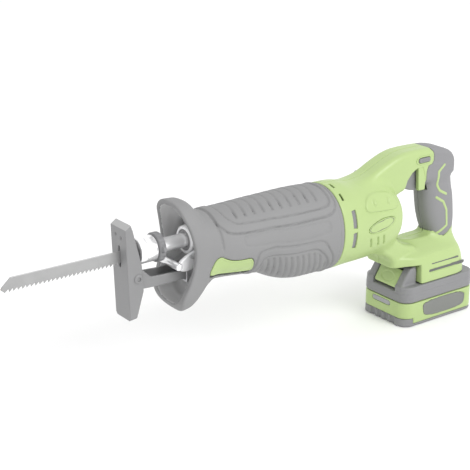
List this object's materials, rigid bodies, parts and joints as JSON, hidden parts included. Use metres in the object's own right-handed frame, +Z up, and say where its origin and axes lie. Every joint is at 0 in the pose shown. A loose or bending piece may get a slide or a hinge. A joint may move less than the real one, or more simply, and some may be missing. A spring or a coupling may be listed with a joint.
{
  "type": "reciprocating saw",
  "caption": "Cordless reciprocating saw with a toothed blade in a twist clamp, tilting shoe, rubber-covered barrel, D-handle with trigger and a slide-off battery.",
  "frame": {"origin": "centre of the bounding box's bottom face, under the barrel, at the height of the battery's underside", "axes": "+X forward towards the blade's tip, +Y to the saw's left, +Z up"},
  "size_m": [0.6, 0.088, 0.2065],
  "materials": {
    "blade_steel": "satin, toothed edge bright",
    "bright_steel": "polished",
    "plain_steel": "machined",
    "cast_aluminium": "cast, lightly machined",
    "shoe_paint": "dark satin coating on sheet steel",
    "boot_rubber": "soft matt",
    "dark_plastic": "fine matt grain",
    "green_plastic": "satin moulded",
    "bronze": "sintered",
    "copper_laminate": "wound copper on a steel stack",
    "board": "coated circuit board",
    "cell_steel": "shrink-wrapped cans",
    "lens": "clear over dark"
  },
  "bodies": {
    "saw_body": {"badge_plate": "green_plastic", "controller_board": "board", "crank_axle": "plain_steel", "crank_bearing": "plain_steel", "front_boot": "boot_rubber", "front_bushing": "bronze", "front_rotor_bearing": "plain_steel", "gearbox_case": "cast_aluminium", "gearbox_nose": "cast_aluminium", "gearbox_screw_1": "plain_steel", "gearbox_screw_2": "plain_steel", "grip_overmould_left": "boot_rubber", "grip_overmould_right": "boot_rubber", "housing_screw_1": "plain_steel", "housing_screw_2": "plain_steel", "housing_screw_3": "plain_steel", "housing_screw_4": "plain_steel", "housing_screw_5": "plain_steel", "housing_screw_6": "plain_steel", "housing_screw_7": "plain_steel", "motor_housing_left": "green_plastic", "motor_housing_right": "green_plastic", "rear_bushing": "bronze", "rear_rotor_bearing": "plain_steel", "shoe_guide_bracket": "plain_steel", "shoe_lock_pin": "bright_steel", "stator": "copper_laminate", "switch_module": "dark_plastic", "terminal_block": "dark_plastic", "terminal_minus": "bronze", "terminal_plus": "bronze", "trigger_spring": "plain_steel", "wiper_seal": "boot_rubber"},
    "reciprocating_set": {"plunger": "bright_steel", "blade_clamp_sleeve": "bright_steel", "blade_lock_pin": "plain_steel", "clamp_spring": "plain_steel", "saw_blade": "blade_steel"},
    "clamp_collar": {"clamp_collar": "dark_plastic"},
    "shoe_arm": {"shoe_arm": "shoe_paint", "shoe_pivot_pin": "plain_steel"},
    "shoe_foot": {"shoe_plate": "shoe_paint"},
    "shoe_lever": {"shoe_release_lever": "green_plastic"},
    "crank": {"crank_gear": "plain_steel", "crank_pin": "bright_steel"},
    "rotor": {"rotor": "plain_steel", "motor_pinion": "plain_steel", "cooling_fan": "dark_plastic"},
    "trigger": {"trigger": "dark_plastic"},
    "lock_button": {"lock_button": "dark_plastic"},
    "battery": {"battery_upper_shell": "dark_plastic", "battery_lower_shell": "green_plastic", "battery_bumper": "dark_plastic", "label_panel_left": "dark_plastic", "label_panel_right": "dark_plastic", "charge_gauge_lens": "lens", "cell_pack": "cell_steel", "battery_board": "board"},
    "battery_latch": {"latch_button": "green_plastic"}
  },
  "joints": [
    {"name": "plunger_stroke", "type": "slide", "parent": "saw_body", "child": "reciprocating_set", "axis": [1, 0, 0], "range_m": [-0.028, 0]},
    {"name": "clamp_twist", "type": "hinge", "parent": "reciprocating_set", "child": "clamp_collar", "pos_m": [0.13455, 0, 0.1597], "axis": [1, 0, 0], "range_deg": [0, 60], "stiffness_Nm_per_rad": 0.1, "springref_deg": -17.19},
    {"name": "shoe_depth", "type": "slide", "parent": "saw_body", "child": "shoe_arm", "axis": [1, 0, 0], "range_m": [0, 0.02]},
    {"name": "shoe_tilt", "type": "hinge", "parent": "shoe_arm", "child": "shoe_foot", "pos_m": [0.16005, 0, 0.136], "axis": [0, 1, 0], "range_deg": [-3, 15]},
    {"name": "shoe_lever_flip", "type": "hinge", "parent": "saw_body", "child": "shoe_lever", "pos_m": [0.06155, 0.036, 0.146], "axis": [1, 0, 0], "range_deg": [0, 30]},
    {"name": "rotor_spin", "type": "hinge", "parent": "saw_body", "child": "rotor", "pos_m": [-0.09045, 0, 0.139], "axis": [1, 0, 0], "continuous": true},
    {"name": "crank_spin", "type": "hinge", "parent": "saw_body", "child": "crank", "pos_m": [0.00855, 0, 0.145], "axis": [0, 0, 1], "continuous": true},
    {"name": "trigger_pull", "type": "slide", "parent": "saw_body", "child": "trigger", "axis": [-1, 0, 0], "range_m": [0, 0.0065], "stiffness_N_per_m": 800, "springref_m": -0.005, "deforming": ["trigger_spring"]},
    {"name": "lock_button_slide", "type": "slide", "parent": "saw_body", "child": "lock_button", "axis": [0, 1, 0], "range_m": [-0.003, 0.003]},
    {"name": "battery_slide", "type": "slide", "parent": "saw_body", "child": "battery", "axis": [1, 0, 0], "range_m": [0, 0.08]},
    {"name": "latch_press", "type": "slide", "parent": "battery", "child": "battery_latch", "axis": [-1, 0, 0], "range_m": [0, 0.003], "stiffness_N_per_m": 600, "springref_m": -0.004}
  ],
  "couplings": [
    {"joint": "crank_spin", "follows": "rotor_spin", "ratio": 0.16667}
  ]
}
